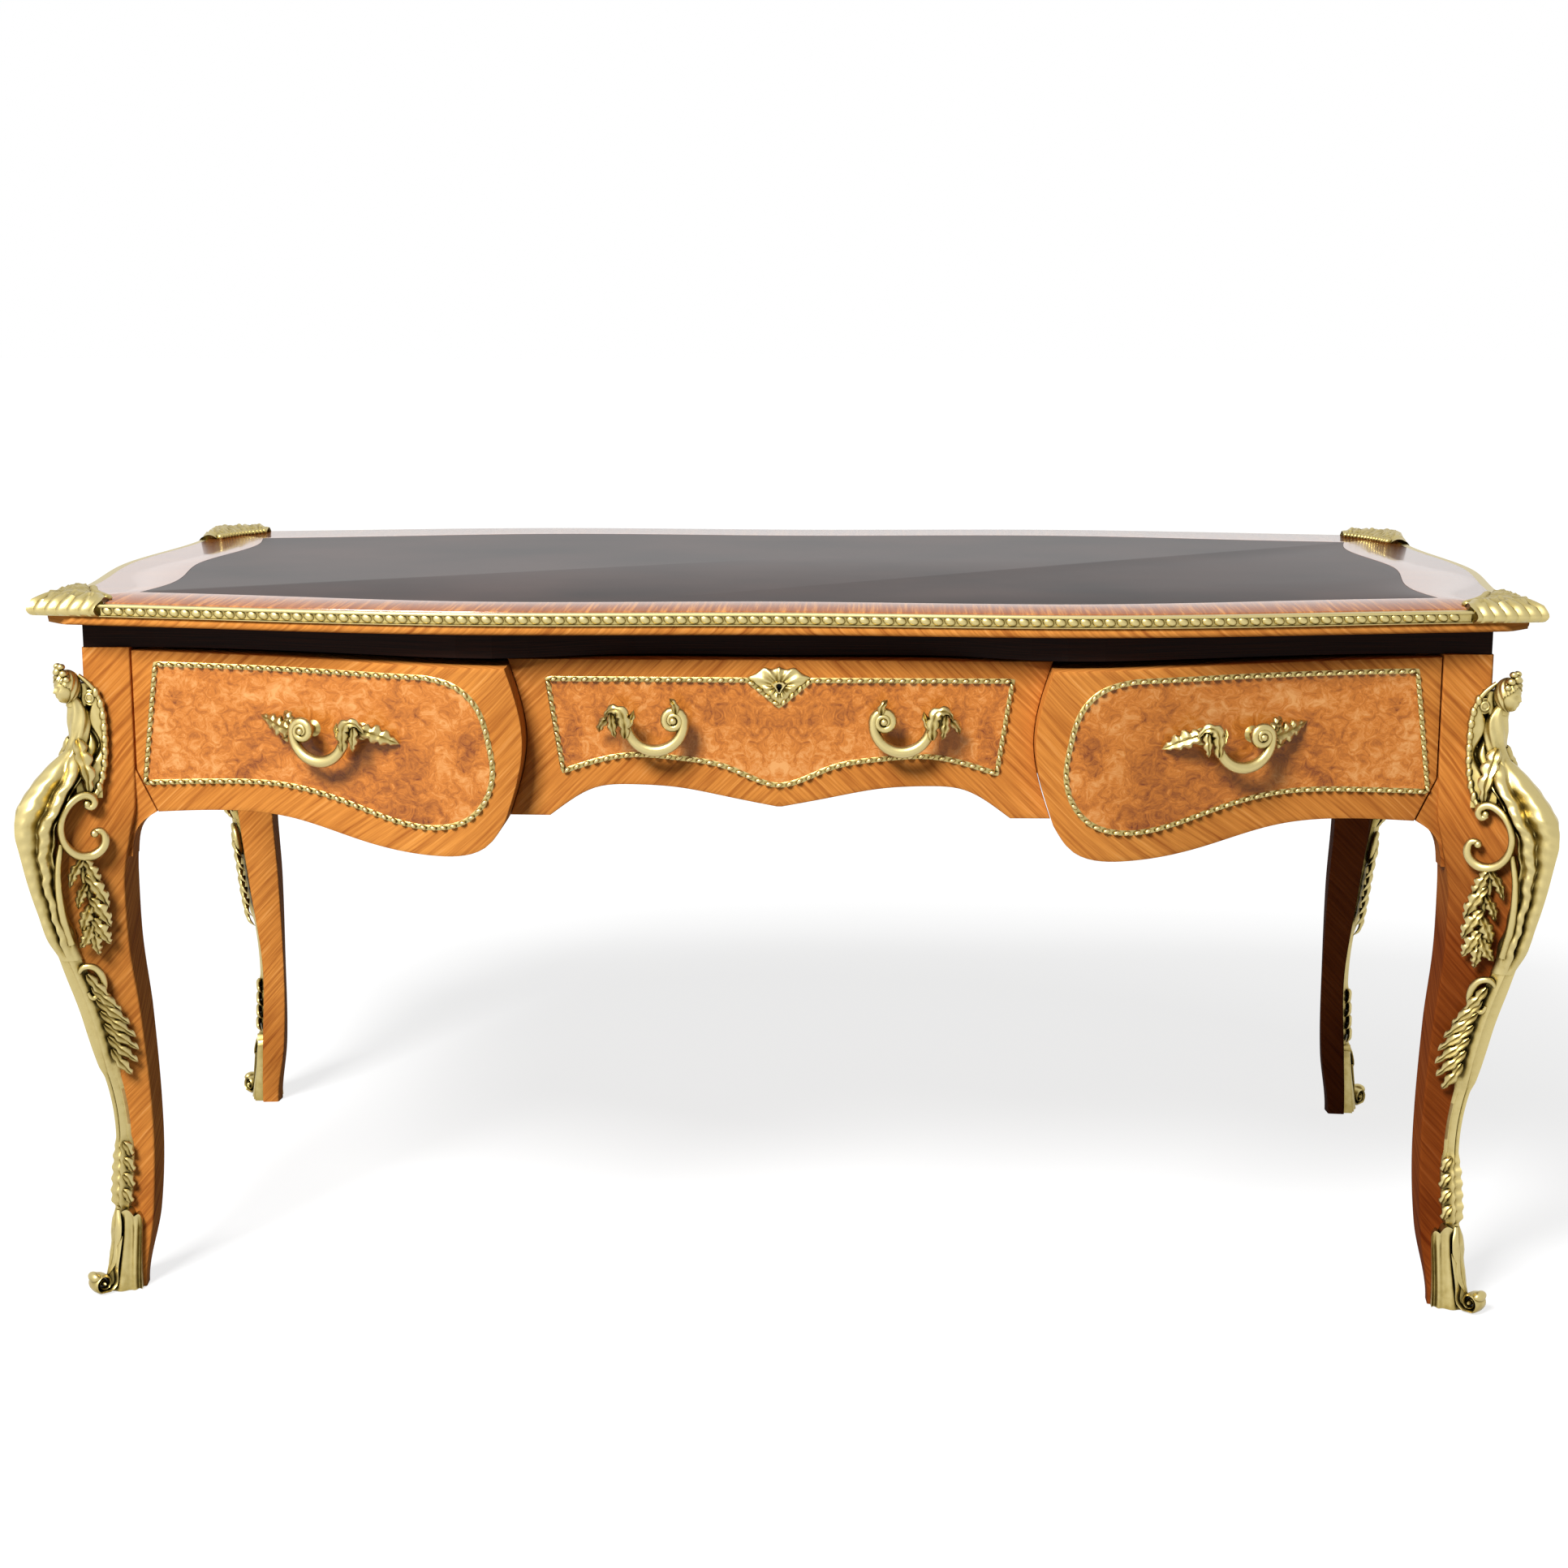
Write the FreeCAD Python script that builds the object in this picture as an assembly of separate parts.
import FreeCAD, Part
import os
from math import atan2, ceil, cos, degrees, radians, sin

# Bureau plat: a leather-topped writing desk with three shaped drawers on cabriole legs, with gilt mounts.
# Millimetres. The origin is on the floor under the middle of the desk. +Z is up, the drawers open to -Y
# and +X is the right-hand side as seen from in front of the drawers.

# Curves are drawn as chords of about these lengths, so that every face stays flat and light
chord_long = 40.0
chord_plan = 26.0
chord_short = 13.0

# Carcass
table_height = 778.0
carcass_half_length = 748.0
carcass_half_depth = 354.0
post_width = 52.0
frieze_height = 28.0
frieze_depth = 40.0
frieze_setback = 2.0
frieze_behind_fronts = 14.0
apron_thickness = 24.0
apron_bow = 14.0
rail_height = 20.0
rail_clearance = 2.0
partition_thickness = 20.0
tenon_width = 20.0
tenon_length = 18.0

# Top
top_thickness = 24.0
top_corner_over_end = 40.0
top_corner_over_front = 24.0
top_neck_over_front = 48.0
top_bulge_over_front = 92.0
top_middle_over_front = 82.0
top_bulge_place = 340.0
top_neck_place = 640.0
top_side_neck_over_end = 28.0
top_side_neck_place = 285.0
top_side_bulge_over_end = 48.0
lip_corner_cut = 26.0
edge_height = 13.0
edge_below_top = 1.0
edge_seat = 8.0
edge_proud = 3.0
leather_border = 88.0
leather_thickness = 1.5
corner_arm_front = 84.0
corner_arm_side = 104.0
corner_proud = 5.0
corner_lap = 2.0
corner_rise = 7.0

# Drawer fronts: how far each stands in front of the posts, and how far it hangs below the frieze
front_clearance = 3.0
front_thickness = 26.0
front_gap = 0.6
side_front_swing = 78.0
side_front_swing_place = 296.0
centre_front_swing = 42.0
centre_front_bow = 4.0
centre_half_width = 285.0
join_bulge = 19.0
side_front_fall = 6.0
side_drop_inner = 167.0
side_drop_lowest = 206.0
side_drop_waist = 171.0
side_drop_outer = 175.0
outer_mitre_rise = 46.0
outer_mitre_run = 22.0
centre_drop_corner = 167.0
centre_drop_arch = 133.0
centre_drop_middle = 156.0
centre_corner_flat = 42.0
side_arch_drop = 140.0
side_middle_drop = 160.0

# Gilt beads that frame each panel
bead_width = 7.0
bead_proud = 4.0
bead_bed = 1.5
bead_margin_top = 14.0
bead_margin_end = 28.0
bead_margin_bottom = 32.0

# Drawer boxes
drawer_wall = 12.0
drawer_bottom_thickness = 8.0
drawer_bottom_raise = 9.0
drawer_groove = 5.0
drawer_box_depth = 590.0
drawer_box_below_top = 14.0
drawer_play = 4.0
runner_gap = 0.3
runner_width = 22.0

# Legs: at each station the height as a share of the shaped part, then how far the outer arris and the inner
# edge of the front face swing out from the post, and how deep the inner edge and the inner corner lie
leg_post_length = 86.0
leg_stations = (
    (1.00, 0.0, 0.0, post_width, post_width),
    (0.93, 19.0, 2.0, 52.0, 52.0),
    (0.87, 40.0, 5.0, 52.0, 50.0),
    (0.82, 47.0, 8.0, 46.0, 43.0),
    (0.73, 40.0, 8.0, 37.0, 40.0),
    (0.62, 22.0, 5.0, 38.0, 41.0),
    (0.49, 1.0, -6.0, 44.0, 47.0),
    (0.28, -18.0, -21.0, 47.0, 51.0),
    (0.13, -13.0, -16.0, 44.0, 46.0),
    (0.00, -8.0, -11.0, 34.0, 32.0),
)
ear_sweep = 50.0
ear_hollow = 1.0
ear_foot = 7.0
ear_root = 17.0

# Gilt leg mounts: height as a share of the shaped part, how far the casting stands out from the arris, and
# how wide its wings are
wing_thickness = 3.0
wing_bed = 9.0
bust_stations = (
    (1.078, 9.0, 20.0),
    (1.050, 12.0, 26.0),
    (1.008, 13.0, 36.0),
    (0.963, 8.0, 38.0),
    (0.931, 19.0, 44.0),
    (0.878, 23.0, 46.0),
    (0.813, 14.0, 36.0),
    (0.734, 13.0, 28.0),
    (0.625, 16.0, 22.0),
)
head_height = 44.0
head_width = 27.0
head_above_leg = 46.0
head_out = 13.0
head_sides = 8
ornament_depth = 7.0
scroll_share = 0.82
scroll_inset = 6.0
scroll_radius = 27.0
scroll_band = 9.0
scroll_sides = 16
sprig_top_share = 0.794
sprig_bottom_share = 0.638
sprig_outline = (
    (0.00, 18.0),
    (0.04, 55.0),
    (0.35, 57.0),
    (0.55, 63.0),
    (0.80, 58.0),
    (1.00, 30.0),
    (0.96, 12.0),
)
chute_stations = (
    (0.620, 16.0, 18.0),
    (0.563, 15.0, 26.0),
    (0.508, 14.0, 32.0),
    (0.453, 13.0, 28.0),
    (0.416, 12.0, 20.0),
    (0.391, 10.0, 12.0),
    (0.297, 10.0, 12.0),
    (0.263, 12.0, 19.0),
    (0.169, 12.0, 19.0),
)
sabot_stations = (
    (0.164, 11.0, 24.0),
    (0.094, 10.0, 26.0),
    (0.039, 9.0, 25.0),
    (0.000, 10.0, 24.0),
)
toe_radius = 13.0
toe_width = 22.0
toe_reach = 19.0
toe_sides = 16

# Handles, escutcheon and lock
handle_bend = 30.0
handle_curl = 11.0
handle_hook = 9.0
handle_bar = 9.0
handle_tip = 6.0
handle_sides = 6
handle_standoff = 24.0
handle_post = 16.0
handle_bed = 12.0
handle_tail = 38.0
handle_leaf = 7.0
side_handle_place = 476.0
centre_handle_place = 128.0
side_handle_below_top = 78.0
centre_handle_below_top = 62.0
escutcheon_width = 66.0
escutcheon_height = 42.0
escutcheon_thickness = 5.0
keyhole_below_top = 27.0
keyhole_width = 5.0
lock_width = 60.0
lock_height = 44.0
lock_depth = 11.0
lock_below_top = 2.0
bolt_width = 22.0
bolt_depth = 5.0
bolt_height = 26.0
bolt_play = 0.3
strike_play = 1.2
strike_depth = 12.0

# Levels and places that follow from the sizes above
top_underside = table_height - top_thickness
frieze_underside = top_underside - frieze_height
fronts_top = frieze_underside - front_clearance
leg_shaped_height = frieze_underside - leg_post_length
keyhole_height = fronts_top - keyhole_below_top
post_inner_x = carcass_half_length - post_width
post_inner_y = carcass_half_depth - post_width
rail_underside = fronts_top - centre_drop_arch + 2 * front_gap
runner_top = rail_underside + rail_height
partition_x = centre_half_width - join_bulge / 2
edge_underside = table_height - edge_height - edge_below_top
far = 2.0 * carcass_half_length
UP = FreeCAD.Vector(0, 0, 1)
REAR = FreeCAD.Vector(0, 1, 0)
NODES = {}


def point(x, y, z):
    return FreeCAD.Vector(x, y, z)


def block(x0, y0, z0, x1, y1, z1):
    return Part.makeBox(x1 - x0, y1 - y0, z1 - z0, point(x0, y0, z0))


def mirror_x(shape):
    return shape.mirror(point(0, 0, 0), point(1, 0, 0))


def mirror_y(shape):
    return shape.mirror(point(0, 0, 0), point(0, 1, 0))


def largest(shape):
    return max(shape.Solids, key=lambda solid: solid.Volume)


def prism(corners, direction):
    """Solid drawn out from a closed outline of points."""
    return facet(corners).extrude(direction)


def facet(corners):
    return Part.Face(Part.makePolygon(list(corners) + [corners[0]]))


def loft(sections, ring=False):
    """Solid of flat facets through sections with equal numbers of corners, in a row or round a ring."""
    rows = list(zip(sections, sections[1:]))
    if ring:
        rows.append((sections[-1], sections[0]))
        faces = []
    else:
        faces = [facet(sections[0]), facet(sections[-1])]
    for lower, upper in rows:
        for index in range(len(lower)):
            a, b = lower[index - 1], lower[index]
            d, c = upper[index - 1], upper[index]
            if (a - c).Length < (b - d).Length:
                faces += [facet((a, b, c)), facet((a, c, d))]
            else:
                faces += [facet((a, b, d)), facet((b, c, d))]
    shell = Part.makeShell(faces)
    shell.sewShape()
    solid = Part.makeSolid(shell)
    if solid.Volume < 0:
        solid.reverse()
    return solid.removeSplitter()


def chords(places, length):
    """Even chords of a smooth curve through (a, b) places."""
    curve = Part.BSplineCurve()
    curve.interpolate([point(a, b, 0) for a, b in places])
    edge = curve.toShape()
    count = 2 * ceil(edge.Length / length / 2) + 1
    return [(place.x, place.y) for place in edge.discretize(Number=count)]


def ring_points(count, radius):
    turns = [radians(360) * (index + 0.5) / count for index in range(count)]
    return [(radius * cos(turn), radius * sin(turn)) for turn in turns]


def both_sides(half):
    """Outline symmetrical about zero, from the points of its right half that start in the middle."""
    return [(-a, b) for a, b in reversed(half)] + half[1:]


def level_at(row, place):
    """Level of a row of (a, b) points at one place along it."""
    for (a0, b0), (a1, b1) in zip(row, row[1:]):
        if min(a0, a1) <= place <= max(a0, a1):
            return b0 + (b1 - b0) * (place - a0) / (a1 - a0)
    return row[0][1] if abs(place - row[0][0]) < abs(place - row[-1][0]) else row[-1][1]


def smooth_at(rows, height):
    """Values of a table of stations at a height, on a smooth curve through the stations, highest first."""
    height = min(max(height, rows[-1][0]), rows[0][0])
    index = 0
    while index < len(rows) - 2 and height < rows[index + 1][0]:
        index += 1
    near = [rows[max(index - 1, 0)], rows[index], rows[index + 1], rows[min(index + 2, len(rows) - 1)]]
    span = near[2][0] - near[1][0]
    share = (height - near[1][0]) / span
    values = []
    for before, start, end, after in zip(near[0][1:], near[1][1:], near[2][1:], near[3][1:]):
        leave = (end - before) / (near[2][0] - near[0][0]) * span
        arrive = (after - start) / (near[3][0] - near[1][0]) * span
        # Level at a turning point, so that the curve never runs past its stations
        if (end - start) * (start - before) <= 0:
            leave = 0.0
        if (after - end) * (end - start) <= 0:
            arrive = 0.0
        bend = start * (1 + 2 * share) + leave * share
        values.append(bend * (1 - share) ** 2 + (end * (3 - 2 * share) + arrive * (share - 1)) * share ** 2)
    return values


def levels(rows):
    """Heights of the stations of a table and the heights half-way between them."""
    heights = [rows[0][0]]
    for upper, lower in zip(rows, rows[1:]):
        heights += [(upper[0] + lower[0]) / 2, lower[0]]
    return heights


# Plans: each front surface is a curve seen from above, from its outer to its inner end


def side_plan(setback, swing):
    """Bowed plan of the right-hand drawer front, from the post to the join with the centre drawer."""
    reach = post_inner_x - side_front_swing_place
    inner_end = partition_x - 1.5 * join_bulge
    rows = (
        (post_inner_x, 0.0),
        (side_front_swing_place + 0.72 * reach, 0.16 * swing),
        (side_front_swing_place + 0.46 * reach, 0.46 * swing),
        (side_front_swing_place + 0.20 * reach, 0.86 * swing),
        (side_front_swing_place, swing),
        (inner_end, 0.94 * swing),
    )
    return chords([(x, setback - carcass_half_depth - out) for x, out in rows], chord_plan)


def side_face():
    return side_plan(0.0, side_front_swing)


def side_back():
    """Back of a side front, which bows less than its face, so the front thickens towards the join."""
    return side_plan(front_thickness, centre_front_swing)


def centre_plan(setback):
    """Lightly bowed plan of the centre drawer front, from right to left."""
    end = centre_half_width + join_bulge
    y = setback - carcass_half_depth - centre_front_swing
    return chords([(end, y), (0.0, y - centre_front_bow), (-end, y)], chord_long)


def frieze_plan(setback):
    """Plan of the frieze under the top, which follows the drawers a little way behind them."""
    back = setback + frieze_setback - carcass_half_depth
    behind = setback + frieze_behind_fronts - carcass_half_depth
    reach = post_inner_x - side_front_swing_place
    half = [
        (0.0, behind - centre_front_swing),
        (0.6 * side_front_swing_place, behind - centre_front_swing),
        (side_front_swing_place, behind - side_front_swing),
        (side_front_swing_place + 0.24 * reach, behind - 0.82 * side_front_swing),
        (side_front_swing_place + 0.76 * reach, back - 0.02 * side_front_swing),
        (carcass_half_length - frieze_setback, back),
    ]
    return chords(both_sides(half), chord_long)


def strip(face, back, low, high):
    """Solid between two plan curves, from one level to another."""
    outline = face + list(reversed(back))
    return prism([point(x, y, low) for x, y in outline], UP * (high - low))


# Outlines: each front seen from the front, as (x, z) points in order round it


def front_view(outline):
    """Outline in the front view made into a solid that runs through the whole desk."""
    return prism([point(x, -far, z) for x, z in outline], REAR * (2 * far))


def shrink(loop, inset):
    """Move a closed outline inwards; the outline runs anticlockwise."""
    moved = []
    for index, here in enumerate(loop):
        before = loop[index - 1]
        after = loop[(index + 1) % len(loop)]
        first = atan2(here[1] - before[1], here[0] - before[0])
        second = atan2(after[1] - here[1], after[0] - here[0])
        turn = (second - first + radians(540)) % radians(360) - radians(180)
        middle = first + turn / 2 + radians(90)
        step = inset / max(cos(turn / 2), 0.5)
        moved.append((here[0] + step * cos(middle), here[1] + step * sin(middle)))
    return moved


def join_curve(offset, top):
    """Curved join between the centre drawer and the right-hand one, from its top down."""
    low = fronts_top - side_drop_inner
    rows = [
        (centre_half_width + offset, top),
        (centre_half_width - join_bulge + offset, (top + low) / 2),
        (centre_half_width + offset, low),
    ]
    return chords(rows, chord_plan)


def side_bottom(gap):
    """Stations of the lower edge of the right-hand drawer front, from the join to the outer mitre."""
    inner = centre_half_width + gap
    run = post_inner_x - gap - outer_mitre_run - inner
    return [
        (inner, fronts_top - side_drop_inner),
        (inner + 0.05 * run, fronts_top - 0.94 * side_drop_lowest),
        (inner + 0.20 * run, fronts_top - side_drop_lowest),
        (inner + 0.42 * run, fronts_top - 0.66 * side_drop_lowest - 0.34 * side_drop_waist),
        (inner + 0.62 * run, fronts_top - 0.12 * side_drop_lowest - 0.88 * side_drop_waist),
        (inner + 0.80 * run, fronts_top - side_drop_waist),
        (inner + run, fronts_top - side_drop_outer),
    ]


def side_front_solid(gap, top):
    """Right-hand drawer front: its bowed plan cut to its shaped outline."""
    outer = post_inner_x - gap
    wave = chords(side_bottom(gap), chord_short)
    outline = join_curve(gap, top - side_front_fall) + wave[1:]
    outline += [(outer, wave[-1][1] + outer_mitre_rise), (outer, top)]
    return largest(strip(side_face(), side_back(), -far, far).common(front_view(outline)))


def centre_bottom(gap):
    """Stations of the lower edge of the centre drawer front, from the middle to the right-hand corner."""
    rise = centre_half_width - gap - centre_corner_flat
    return [
        (0.0, fronts_top - centre_drop_middle),
        (0.22 * rise, fronts_top - 0.55 * centre_drop_middle - 0.45 * centre_drop_arch),
        (0.44 * rise, fronts_top - 0.12 * centre_drop_middle - 0.88 * centre_drop_arch),
        (0.64 * rise, fronts_top - centre_drop_arch),
        (0.80 * rise, fronts_top - 0.90 * centre_drop_arch - 0.10 * centre_drop_corner),
        (rise, fronts_top - centre_drop_corner),
    ]


def centre_front_solid(gap, top):
    """Centre drawer front: nearly flat in plan, with hollow ends and a double-arched lower edge."""
    corner = (centre_half_width - gap, fronts_top - centre_drop_corner)
    wave = chords(both_sides(centre_bottom(gap)), chord_short)
    right = join_curve(-gap, top)[:-1] + [corner]
    left = [(-x, z) for x, z in reversed(right)]
    outline = right + list(reversed(wave)) + left
    solid = strip(centre_plan(0.0), centre_plan(front_thickness), -far, far)
    return largest(solid.common(front_view(outline)))


def bead_ring(loop, place):
    """Ridged gilt bead that follows a closed outline; place turns an outline point and a lift into space."""
    outer = [place(a, z, -bead_bed) for a, z in loop]
    ridge = [place(a, z, bead_proud) for a, z in shrink(loop, bead_width / 2)]
    inner = [place(a, z, -bead_bed) for a, z in shrink(loop, bead_width)]
    sections = [list(corners) for corners in zip(outer, ridge, inner)]
    return loft(sections, ring=True)


def side_bead(front):
    """Bead frame of the right-hand drawer front."""
    bottom = side_bottom(0.0)
    outer = post_inner_x - bead_margin_end
    inner = centre_half_width + bead_margin_end
    top = fronts_top - bead_margin_top
    lift = bead_margin_bottom
    curve = [
        (inner + 2.0 * bead_margin_end, top - 0.5 * side_front_fall),
        (inner + 0.8 * bead_margin_end, top - 0.07 * side_drop_inner),
        (inner, top - 0.20 * side_drop_inner),
        (inner - 0.6 * join_bulge, top - 0.42 * side_drop_inner),
        (inner - 0.8 * join_bulge, top - 0.60 * side_drop_inner),
        (inner - 0.35 * join_bulge, top - 0.79 * side_drop_inner),
        (inner + 0.65 * join_bulge, top - 0.91 * side_drop_inner),
        (bottom[2][0], bottom[2][1] + 0.95 * lift),
        (bottom[3][0], bottom[3][1] + 1.15 * lift),
        (bottom[4][0], bottom[4][1] + 1.1 * lift),
        (bottom[5][0], bottom[5][1] + lift),
        (outer + 0.6 * bead_margin_end, bottom[6][1] + lift),
    ]
    face = side_face()
    loop = [(outer, top)] + chords(curve, chord_plan)
    return largest(bead_ring(loop, lambda x, z, out: point(x, level_at(face, x) - out, z)).cut(front))


def centre_bead(front):
    """Bead frame of the centre drawer front, which dips under the escutcheon."""
    top = fronts_top - 1.5 * bead_margin_top
    end = centre_half_width - 1.5 * bead_margin_end
    wave = centre_bottom(0.0)
    lift = bead_margin_bottom
    dip = keyhole_height - escutcheon_height / 2 - bead_width / 2
    half = [
        (0.0, wave[0][1] + 0.75 * lift),
        (wave[1][0], wave[1][1] + lift),
        (wave[2][0], wave[2][1] + lift),
        (wave[3][0], wave[3][1] + lift),
        (end - 0.55 * bead_margin_end, wave[5][1] + 1.5 * lift),
    ]
    face = centre_plan(0.0)
    loop = [(end, top), (escutcheon_width / 2, top), (0.0, dip), (-escutcheon_width / 2, top), (-end, top)]
    loop += chords(both_sides(half), chord_plan)
    return largest(bead_ring(loop, lambda x, z, out: point(x, level_at(face, x) - out, z)).cut(front))


# Top


def top_corner(inset):
    x = carcass_half_length + top_corner_over_end - inset
    y = carcass_half_depth + top_corner_over_front - inset
    return x, y


def top_outline(inset):
    """Serpentine plan of the top, drawn in by an inset, anticlockwise from the rear right corner."""
    corner_x, corner_y = top_corner(inset)
    depth = carcass_half_depth - inset
    length = carcass_half_length - inset
    rear_half = [
        (0.0, depth + top_middle_over_front),
        (top_bulge_place, depth + top_bulge_over_front),
        (top_neck_place * corner_x / (corner_x + inset), depth + top_neck_over_front),
        (corner_x, corner_y),
    ]
    end_half = [
        (0.0, length + top_side_bulge_over_end),
        (top_side_neck_place * corner_y / (corner_y + inset), length + top_side_neck_over_end),
        (corner_y, corner_x),
    ]
    rear = list(reversed(chords(both_sides(rear_half), chord_long)))
    left = [(-x, y) for y, x in reversed(chords(both_sides(end_half), chord_long))]
    front = [(-x, -y) for x, y in rear]
    right = [(-x, -y) for x, y in left]
    return rear[:-1] + left[:-1] + front[:-1] + right[:-1]


def top_slab(inset, low, high):
    return prism([point(x, y, low) for x, y in top_outline(inset)], UP * (high - low))


def build_top():
    lower = top_slab(0.0, top_underside, edge_underside)
    upper = top_slab(edge_seat, edge_underside, table_height)
    leather = top_slab(leather_border, table_height - leather_thickness, table_height)
    corner_x, corner_y = top_corner(0.0)
    reach = lip_corner_cut + corner_proud
    bevel = [(corner_x - reach, corner_y + corner_proud), (corner_x + corner_proud, corner_y - reach)]
    bevel.append((corner_x + reach, corner_y + reach))
    cutter = prism([point(x, y, 0) for x, y in bevel], UP * far)
    for piece in (cutter, mirror_x(cutter)):
        lower = lower.cut(piece).cut(mirror_y(piece))
    panel = lower.fuse(upper).removeSplitter()
    NODES["top_panel"] = [largest(panel.cut(leather))]
    NODES["top_leather"] = [leather]
    mounts = build_corner_mounts(upper)
    ring = top_slab(-edge_proud, edge_underside, edge_underside + edge_height).cut(upper)
    for mount in mounts:
        ring = ring.cut(mount)
    pieces = sorted(ring.Solids, key=lambda solid: -solid.Volume)[:4]
    for piece in pieces:
        centre = piece.CenterOfMass
        if abs(centre.y) > abs(centre.x):
            name = "front" if centre.y < 0 else "rear"
        else:
            name = "left" if centre.x < 0 else "right"
        NODES["top_edge_" + name] = [piece]


def build_corner_mounts(upper):
    """Gilt leaf clasp over each corner of the top, seated in the edge rebate and lapping onto the wood."""
    corner_x, corner_y = top_corner(-corner_proud)
    front_end = (corner_x - corner_arm_front, -corner_y - corner_proud)
    side_end = (corner_x + corner_proud, corner_arm_side - corner_y)
    waist = (corner_x - 0.60 * corner_arm_front, 0.60 * corner_arm_side - corner_y)
    tip = (corner_x + corner_proud, -corner_y - corner_proud)
    plan = chords([side_end, waist, front_end], chord_short) + [tip]
    low = edge_underside
    lap = table_height + corner_lap
    leaf = prism([point(x, y, low) for x, y in plan], UP * (lap - low))
    leaf = largest(leaf.common(top_slab(-corner_proud, low, lap)).cut(upper))
    crown = max(leaf.Faces, key=lambda face: face.CenterOfMass.z)
    rim = [vertex.Point for vertex in crown.OuterWire.OrderedVertexes]
    middle = crown.CenterOfMass
    tiers = [rim]
    for share, rise in ((0.80, 0.6), (0.45, 1.0)):
        lift = UP * (rise * (corner_rise - corner_lap))
        tiers.append([middle + (place - middle) * share + lift for place in rim])
    leaf = largest(leaf.fuse(loft(tiers)).removeSplitter())
    mounts = []
    for end, place in ((leaf, "right"), (mirror_x(leaf), "left")):
        NODES["corner_mount_front_" + place] = [end]
        NODES["corner_mount_rear_" + place] = [mirror_y(end)]
        mounts += [end, mirror_y(end)]
    return mounts


# Frieze, aprons and inner frame


def build_frieze(tenon):
    """Ebonised frieze rails that carry the top, laid on the leg posts."""
    front = strip(frieze_plan(0.0), frieze_plan(frieze_depth), frieze_underside, top_underside)
    rear = mirror_y(front)
    outer = carcass_half_length - frieze_setback
    end_y = carcass_half_depth - frieze_setback
    side = block(outer - frieze_depth, -end_y, frieze_underside, outer, end_y, top_underside)
    side = largest(side.cut(front).cut(rear))
    NODES["frieze_rail_right"] = [side]
    NODES["frieze_rail_left"] = [mirror_x(side)]
    for cutter in (tenon, mirror_x(tenon)):
        front = front.cut(cutter)
        rear = rear.cut(mirror_y(cutter))
    strike_y = bolt_centre_y()
    half_width = bolt_width / 2 + strike_play
    half_depth = bolt_depth / 2 + strike_play
    strike_top = frieze_underside + strike_depth
    strike = block(-half_width, strike_y - half_depth, 0, half_width, strike_y + half_depth, strike_top)
    NODES["frieze_rail_front"] = [largest(front.cut(strike))]
    NODES["frieze_rail_rear"] = [largest(rear)]


def side_apron_plan(proud):
    """Bowed plan of the right-hand apron as (y, x) points, from front to rear."""
    x = carcass_half_length + proud
    return chords([(-post_inner_y, x), (0.0, x + apron_bow), (post_inner_y, x)], chord_long)


def side_apron_wave(lift):
    """Stations of the lower edge of a side apron in the end view, from the middle to the rear post."""
    low_end = frieze_underside - side_drop_outer - front_clearance + lift
    arch = frieze_underside - side_arch_drop + lift
    middle = frieze_underside - side_middle_drop + lift
    return [
        (0.0, middle),
        (0.30 * post_inner_y, 0.5 * (middle + arch)),
        (0.58 * post_inner_y, arch),
        (0.84 * post_inner_y, 0.7 * arch + 0.3 * low_end),
        (post_inner_y, low_end),
    ]


def build_side_aprons():
    """Shaped apron under each end of the desk and the gilt bead laid round its face."""
    face = side_apron_plan(0.0)
    plan = face + list(reversed(side_apron_plan(-apron_thickness)))
    skin = prism([point(x, y, 0) for y, x in plan], UP * far)
    outline = chords(both_sides(side_apron_wave(0.0)), chord_short)
    outline += [(post_inner_y, frieze_underside), (-post_inner_y, frieze_underside)]
    apron = largest(skin.common(prism([point(0, y, z) for y, z in outline], point(far, 0, 0))))
    NODES["side_apron_right"] = [apron]
    NODES["side_apron_left"] = [mirror_x(apron)]
    share = (post_inner_y - bead_margin_end) / post_inner_y
    wave = [(y * share, z) for y, z in side_apron_wave(bead_margin_bottom)]
    top = frieze_underside - bead_margin_top - front_clearance
    end = post_inner_y * share
    loop = chords(both_sides(wave), chord_plan) + [(end, top), (-end, top)]
    bead = largest(bead_ring(loop, lambda y, z, out: point(level_at(face, y) + out, y, z)).cut(apron))
    return [bead, mirror_x(bead)]


def build_rear_apron():
    """Fixed rear apron worked as three false drawers that repeat the front."""
    side = side_front_solid(0.0, frieze_underside)
    centre = centre_front_solid(0.0, frieze_underside)
    whole = centre.fuse([side, mirror_x(side)]).removeSplitter()
    NODES["rear_apron"] = [mirror_y(largest(whole))]
    bead = side_bead(side)
    return [mirror_y(piece) for piece in (bead, mirror_x(bead), centre_bead(centre))]


def build_inner_frame():
    """Oak lower rails, partitions and runners that the drawers ride on."""
    rail_face = front_thickness + rail_clearance - carcass_half_depth
    front_rail = block(-post_inner_x, rail_face, rail_underside, post_inner_x, -post_inner_y, runner_top)
    NODES["lower_rails"] = [front_rail, mirror_y(front_rail)]
    half = partition_thickness / 2
    depth = carcass_half_depth + centre_front_swing - front_thickness - front_clearance
    partition = block(partition_x - half, -depth, runner_top, partition_x + half, depth, frieze_underside)
    NODES["partitions"] = [partition, mirror_x(partition)]
    runners = []
    for low_x in (partition_x - half - runner_width, partition_x + half, post_inner_x - runner_width):
        high_x = low_x + runner_width
        runner = block(low_x, -post_inner_y, rail_underside, high_x, post_inner_y, runner_top)
        runners += [runner, mirror_x(runner)]
    NODES["drawer_runners"] = runners


# Legs and their mounts


def corner_point(end, front, z):
    """Point given by its distances outside the post's end face and front face, at the front right leg."""
    return point(carcass_half_length + end, -carcass_half_depth - front, z)


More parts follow.
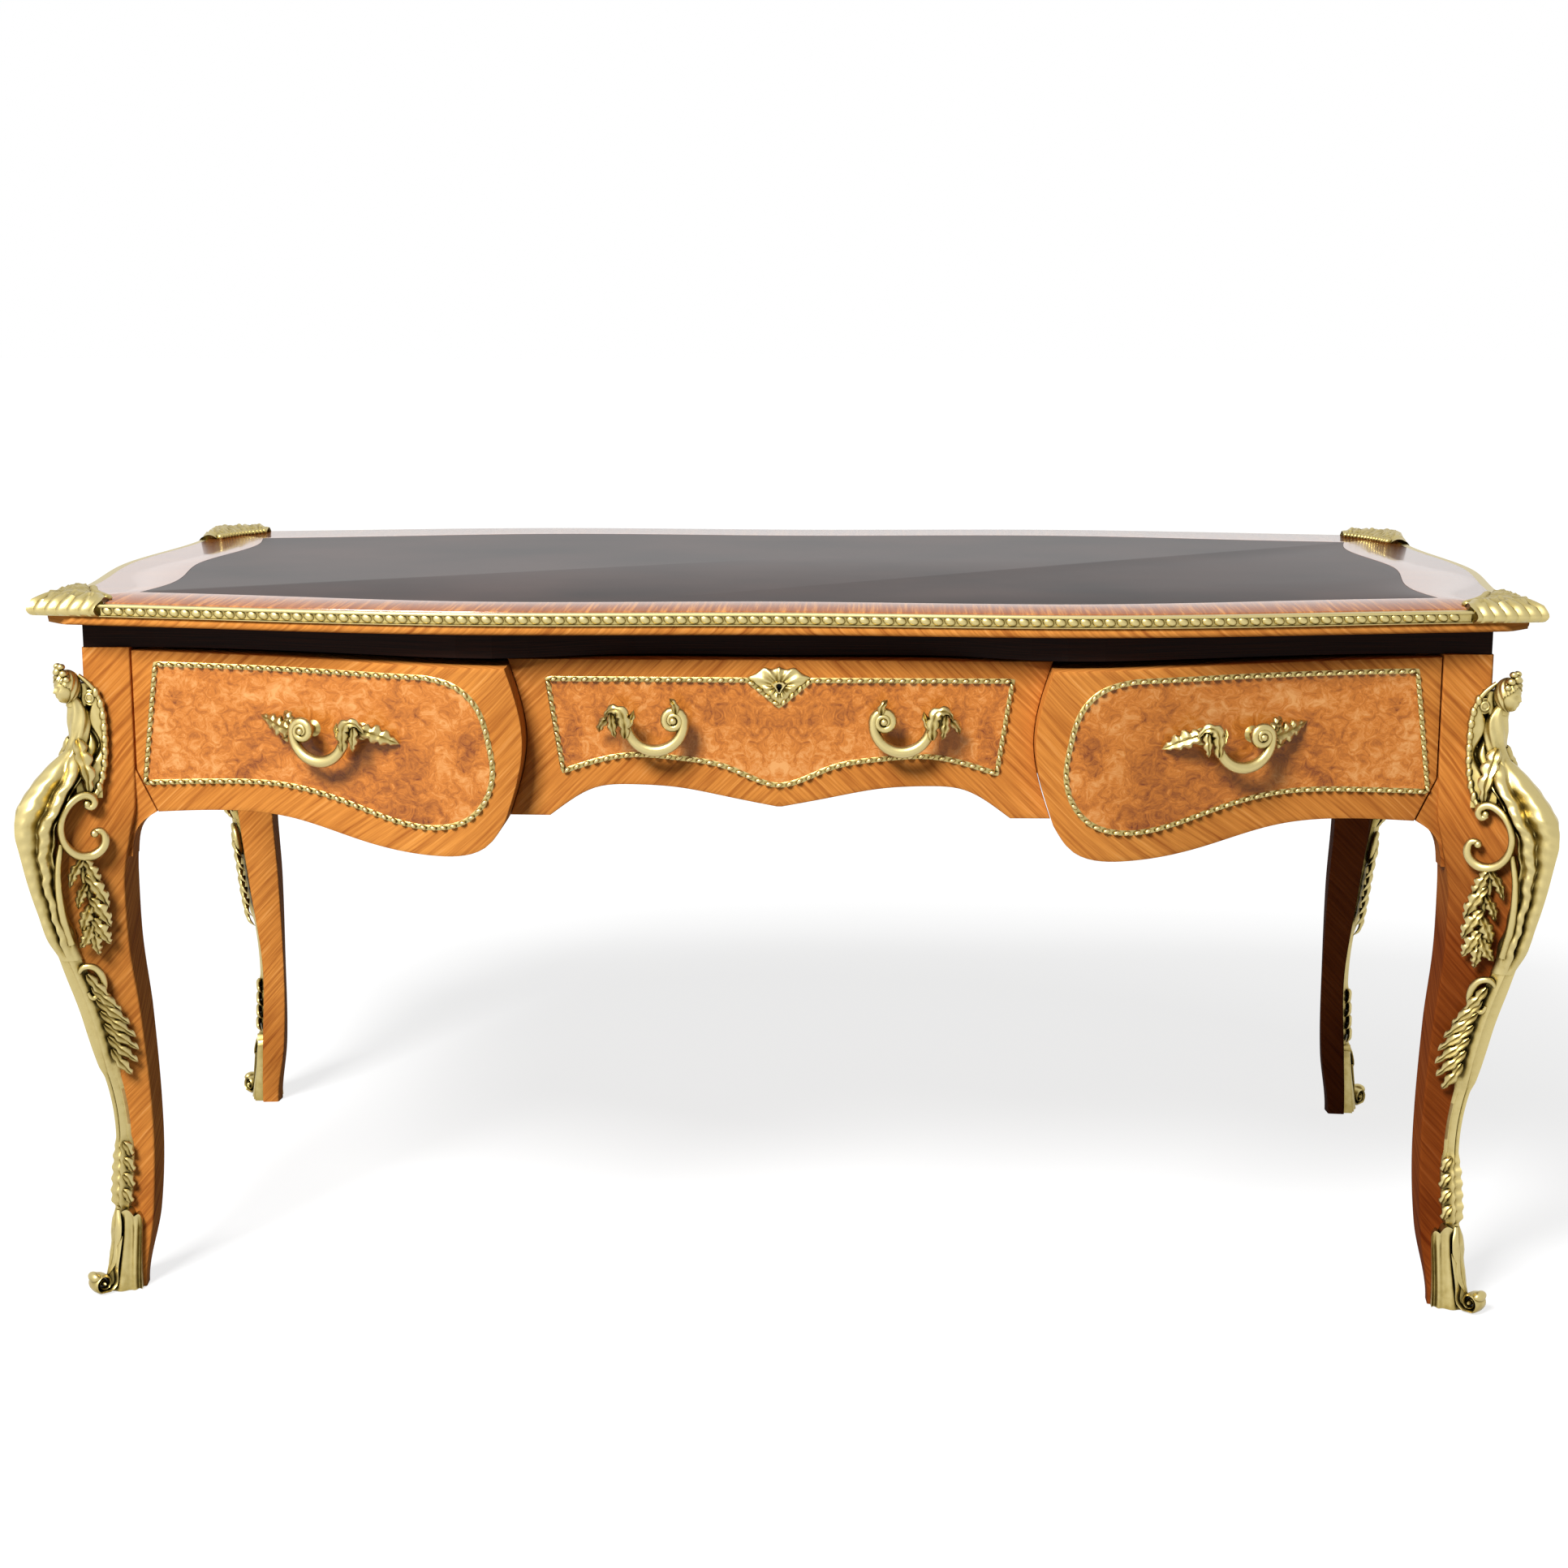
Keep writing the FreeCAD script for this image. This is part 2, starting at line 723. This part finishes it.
def leg_section(outline, share):
    """Section of a leg or casting at a share of the leg's height, from (end, front) distances."""
    return [corner_point(end, front, share * leg_shaped_height) for end, front in outline]


def leg_loft(swell):
    """Shaped part of a leg with its two show faces pushed out by a swell."""
    sections = []
    for share in levels(leg_stations):
        out, front, inner, corner = smooth_at(leg_stations, share)
        edge = front + swell
        kite = ((out + swell, out + swell), (-inner, edge), (-corner, -corner), (edge, -inner))
        sections.append(leg_section(kite, share))
    return loft(sections)


def build_leg():
    """Cabriole leg: a square post over a kite-shaped section that swings out at the knee, in at the ankle."""
    foot = corner_point(-post_width, 0.0, leg_shaped_height)
    post = Part.makeBox(post_width, post_width, frieze_underside - leg_shaped_height, foot)
    centre = corner_point(-post_width / 2, -frieze_setback - frieze_depth / 2, frieze_underside)
    half = tenon_width / 2
    corner = centre - point(half, half, 0)
    tenon = Part.makeBox(tenon_width, tenon_width, tenon_length, corner)
    return largest(leg_loft(0.0).fuse([post, tenon, leg_ear()]).removeSplitter()), tenon


def leg_ear():
    """Bracket that carries the curve of a leg into the lower edge of the drawer front."""
    low = fronts_top - side_drop_outer
    tip = post_inner_x - outer_mitre_run
    root = post_inner_x + ear_root
    foot = post_inner_x + ear_foot
    curve = [(foot, low - ear_sweep), (post_inner_x - ear_hollow, low - 0.33 * ear_sweep), (tip, low)]
    outline = chords(curve, chord_short)
    high = low + outer_mitre_rise
    outline += [(post_inner_x, high), (root, high), (root, low - ear_sweep)]
    return prism([point(x, -carcass_half_depth, z) for x, z in outline], REAR * front_thickness)


def saddle(stations):
    """Casting that rides the arris of a leg: a chevron section that grows and shrinks along the leg."""
    sections = []
    for share in levels(stations):
        proud, wing = smooth_at(stations, share)
        out, front, inner, corner = smooth_at(leg_stations, share)
        slope = (out - front) / (out + inner)
        edge = out - slope * wing
        core = out - 0.75 * wing
        half = [
            (out - 0.45 * wing, out - 0.45 * slope * wing + 0.55 * proud + wing_thickness),
            (out - wing, edge + wing_thickness),
            (out - wing, edge - wing_bed),
        ]
        other = [(ahead, end) for end, ahead in reversed(half)]
        outline = [(out + proud, out + proud)] + half + [(core, core)] + other
        sections.append(leg_section(outline, share))
    return loft(sections)


def diagonal_disc(out, height, radius, width):
    """Round scroll whose axis lies level and square to the diagonal of the leg."""
    across = point(1, 1, 0).normalize()
    ahead = point(1, -1, 0).normalize()
    start = corner_point(out, out, height) - across * (width / 2)
    return prism([start + ahead * a + UP * b for a, b in ring_points(toe_sides, radius)], across * width)


def bust_head():
    """Egg-shaped head above the shoulders of the bust."""
    sections = []
    for share, width in ((-1.0, 0.45), (-0.75, 0.70), (-0.25, 0.96), (0.25, 1.0), (0.7, 0.78), (1.0, 0.35)):
        z = leg_shaped_height + head_above_leg + share * head_height / 2
        ring = ring_points(head_sides, width * head_width / 2)
        sections.append([corner_point(head_out + a, head_out + b, z) for a, b in ring])
    return loft(sections)


def knee_ornament(leg):
    """Open C-scroll and leaf sprig that lie on the front face of the knee."""
    skin = leg_loft(ornament_depth).cut(leg)
    x = carcass_half_length - scroll_inset
    z = scroll_share * leg_shaped_height
    rings = []
    for radius in (scroll_radius, scroll_radius - scroll_band):
        rings.append(front_view([(x + a, z + b) for a, b in ring_points(scroll_sides, radius)]))
    mouth = block(0, -far, z - scroll_band / 2, x - scroll_band, far, z + scroll_radius - scroll_band)
    outline = []
    for part, wing in sprig_outline:
        share = sprig_top_share + part * (sprig_bottom_share - sprig_top_share)
        out = smooth_at(leg_stations, share)[0]
        outline.append((carcass_half_length + out - wing, share * leg_shaped_height))
    return skin.common(rings[0].cut(rings[1]).cut(mouth).fuse(front_view(outline)))


def build_leg_mounts(leg):
    """Bust mount on the knee, leaf chute on the shin and scrolled sabot, each cut to sit on the leg."""
    ornament = knee_ornament(leg)
    across = ornament.mirror(corner_point(0, 0, 0), point(1, 1, 0))
    body = saddle(bust_stations).fuse(bust_head()).cut(leg)
    bust = largest(body.fuse([ornament, across]).removeSplitter())
    chute = largest(saddle(chute_stations).cut(leg))
    foot_out = leg_stations[-1][1]
    toe = diagonal_disc(foot_out + toe_reach, toe_radius, toe_radius, toe_width)
    link = diagonal_disc(foot_out + 0.5 * toe_reach, 0.9 * toe_radius, 0.9 * toe_radius, toe_width)
    sabot = saddle(sabot_stations).fuse([toe, link])
    sabot = largest(sabot.common(block(-far, -far, 0, far, far, far)).cut(leg))
    return bust, chute, sabot


def build_legs():
    leg, tenon = build_leg()
    bust, chute, sabot = build_leg_mounts(leg)
    pieces = (("leg", leg), ("bust_mount", bust), ("leg_chute", chute), ("sabot", sabot))
    for name, piece in pieces:
        other = mirror_x(piece)
        NODES[name + "_front_right"] = [piece]
        NODES[name + "_front_left"] = [other]
        NODES[name + "_rear_right"] = [mirror_y(piece)]
        NODES[name + "_rear_left"] = [mirror_y(other)]
    return tenon


# Drawers, handles, escutcheon and lock


def drawer_box(name, plan, low_x, high_x):
    """Sides, back and bottom of one drawer, fitted behind its curved front."""
    back_y = drawer_box_depth - carcass_half_depth
    inside = strip(plan, [(plan[0][0], back_y), (plan[-1][0], back_y)], 0, far)
    low = runner_top + runner_gap
    high = fronts_top - drawer_box_below_top
    floor_low = low + drawer_bottom_raise
    floor_high = floor_low + drawer_bottom_thickness
    left = inside.common(block(low_x, -far, low, low_x + drawer_wall, back_y, high))
    right = inside.common(block(high_x - drawer_wall, -far, low, high_x, back_y, high))
    floor_left = low_x + drawer_wall - drawer_groove
    floor_right = high_x - drawer_wall + drawer_groove
    floor = inside.common(block(floor_left, -far, floor_low, floor_right, back_y, floor_high))
    back = block(low_x + drawer_wall, back_y - drawer_wall, floor_high, high_x - drawer_wall, back_y, high)
    NODES[name + "_drawer_sides"] = [largest(left.cut(floor)), largest(right.cut(floor))]
    NODES[name + "_drawer_bottom"] = [largest(floor)]
    NODES[name + "_drawer_back"] = [back]


def handle_path():
    """Places along a handle's bar as (x, z, radius), from its volute round the bend to the leaf hook."""
    bar = handle_bar / 2
    tip = handle_tip / 2
    path = []
    for turn in range(-60, 180, 40):
        share = (180 - turn) / 240
        radius = handle_curl * (1 - 0.3 * share)
        angle = radians(turn)
        thick = bar + share * (tip - bar)
        path.append((handle_curl - handle_bend + radius * cos(angle), radius * sin(angle), thick))
    for turn in range(180, 361, 20):
        angle = radians(turn)
        path.append((handle_bend * cos(angle), handle_bend * sin(angle), bar))
    for turn in (135, 90, 45, 0):
        angle = radians(turn)
        thick = bar + (1 - turn / 180) * (tip - bar)
        path.append((handle_bend + handle_hook + handle_hook * cos(angle), handle_hook * sin(angle), thick))
    return path


def handle_body(tails):
    """Scrolled pull: a drooping bend that curls into a volute at one end and a leaf hook at the other."""
    path = handle_path()
    sections = []
    for index, (x, z, radius) in enumerate(path):
        before = path[max(index - 1, 0)]
        after = path[min(index + 1, len(path) - 1)]
        along = point(after[0] - before[0], 0, after[1] - before[1]).normalize()
        normal = REAR.cross(along)
        centre = point(x, -handle_standoff, z)
        sections.append([centre + normal * a + REAR * b for a, b in ring_points(handle_sides, radius)])
    pieces = []
    for x, outward in ((handle_curl - handle_bend, -1), (handle_bend + handle_hook, 1)):
        ring = [point(x + a, handle_bed, b) for a, b in ring_points(handle_sides, handle_post / 2)]
        pieces.append(prism(ring, REAR * -(handle_standoff + handle_bed)))
        if tails:
            tip = x + outward * (handle_tail + handle_post / 2)
            middle = (x + tip) / 2
            leaf = handle_leaf
            outline = [(x, leaf), (middle, 1.3 * leaf), (tip, 0.2 * leaf), (middle, -0.8 * leaf), (x, -leaf)]
            corners = [point(place, handle_bed, level) for place, level in outline]
            pieces.append(prism(corners, REAR * -(handle_bed + leaf)))
    return loft(sections).fuse(pieces)


def handle_at(plan, x, below_top, front, body):
    """Handle turned to the slope of a front at one place, with its feet cut to the surface."""
    reach = handle_bend + handle_hook
    slope = (level_at(plan, x + reach) - level_at(plan, x - reach)) / (2 * reach)
    handle = body.copy()
    handle.rotate(point(0, 0, 0), UP, degrees(atan2(slope, 1)))
    handle.translate(point(x, level_at(plan, x), fronts_top - below_top))
    return largest(handle.cut(front))


def bolt_centre_y():
    """Middle of the lock bolt, in the back of the centre drawer front."""
    return front_thickness - lock_depth / 2 - carcass_half_depth - centre_front_swing


def keyhole(front_y, rear_y):
    """Round-topped keyhole with a narrower slot below, from one level to another."""
    wide = keyhole_width / 2
    half = [(wide * 0.5, -2 * wide), (wide * 0.5, -0.8 * wide), (wide, 0.0), (0.7 * wide, 0.7 * wide)]
    outline = half + [(0.0, wide)] + [(-x, z) for x, z in reversed(half)]
    return prism([point(x, front_y, keyhole_height + z) for x, z in outline], REAR * (rear_y - front_y))


def build_lock(front):
    """Lock case let into the back of the centre front, its bolt, and the escutcheon over the keyhole."""
    y = bolt_centre_y()
    half_depth = lock_depth / 2
    half_width = lock_width / 2
    top = fronts_top - lock_below_top
    case = block(-half_width, y - half_depth, top - lock_height, half_width, y + half_depth, top)
    half = bolt_width / 2 + bolt_play
    deep = bolt_depth / 2 + bolt_play
    slot = block(-half, y - deep, top - bolt_height - bolt_play, half, y + deep, far)
    corner = point(-bolt_width / 2, y - bolt_depth / 2, top - bolt_height)
    bolt = Part.makeBox(bolt_width, bolt_depth, bolt_height, corner)
    mortise = block(-half_width, y - half_depth, top - lock_height, half_width, y + half_depth, far)
    bore = keyhole(-far, y - deep)
    NODES["lock_case"] = [largest(case.cut(slot).cut(bore))]
    NODES["lock_bolt"] = [bolt]
    NODES["escutcheon"] = [largest(escutcheon(front).cut(bore))]
    return largest(front.cut(mortise).cut(bore))


def escutcheon(front):
    """Pointed cartouche over the keyhole."""
    half = escutcheon_width / 2
    tall = escutcheon_height / 2
    y = -carcass_half_depth - centre_front_swing - centre_front_bow - escutcheon_thickness
    sides = [(0.55 * half, -0.45 * tall), (half, 0.3 * tall), (0.45 * half, 0.78 * tall)]
    outline = [(0.0, -tall)] + sides + [(0.0, tall)] + [(-x, dz) for x, dz in reversed(sides)]
    plate = prism([point(x, y, keyhole_height + dz) for x, dz in outline], REAR * (2 * escutcheon_thickness))
    return plate.cut(front)


def build_drawers():
    side_front = side_front_solid(front_gap, fronts_top)
    centre_front = centre_front_solid(front_gap, fronts_top)
    half = partition_thickness / 2
    side_inner = partition_x + half + drawer_play
    side_outer = post_inner_x - drawer_play
    drawer_box("right", side_back(), side_inner, side_outer)
    drawer_box("left", [(-x, y) for x, y in reversed(side_back())], -side_outer, -side_inner)
    inner = partition_x - half - drawer_play
    drawer_box("centre", centre_plan(front_thickness), -inner, inner)
    body = mirror_x(handle_body(True))
    handle = handle_at(side_face(), side_handle_place, side_handle_below_top, side_front, body)
    body = handle_body(False)
    place = centre_handle_place
    centre_handle = handle_at(centre_plan(0.0), place, centre_handle_below_top, centre_front, body)
    bead = side_bead(side_front)
    NODES["right_drawer_front"] = [side_front]
    NODES["left_drawer_front"] = [mirror_x(side_front)]
    NODES["right_drawer_bead"] = [bead]
    NODES["left_drawer_bead"] = [mirror_x(bead)]
    NODES["right_handle"] = [handle]
    NODES["left_handle"] = [mirror_x(handle)]
    NODES["centre_handles"] = [mirror_x(centre_handle), centre_handle]
    NODES["centre_drawer_front"] = [build_lock(centre_front)]
    plate = NODES["escutcheon"][0]
    NODES["centre_drawer_bead"] = [largest(centre_bead(centre_front).cut(plate))]
    handles = [handle, mirror_x(handle), centre_handle, mirror_x(centre_handle)]
    NODES["rear_fittings"] = [mirror_y(piece) for piece in handles + [plate]]
    NODES["apron_beads"] = [largest(piece.cut(mirror_y(plate))) for piece in NODES["apron_beads"]]


def main():
    tenon = build_legs()
    build_top()
    build_frieze(tenon)
    build_inner_frame()
    NODES["apron_beads"] = build_side_aprons() + build_rear_apron()
    build_drawers()
    os.makedirs("parts", exist_ok=True)
    for name, solids in sorted(NODES.items()):
        shape = solids[0] if len(solids) == 1 else Part.makeCompound(solids)
        shape.exportStep("parts/" + name + ".step")
        print(name, len(solids), "solids,", round(shape.Volume / 1000.0, 1), "cm3, valid", shape.isValid())
    print(len(NODES), "nodes")


main()
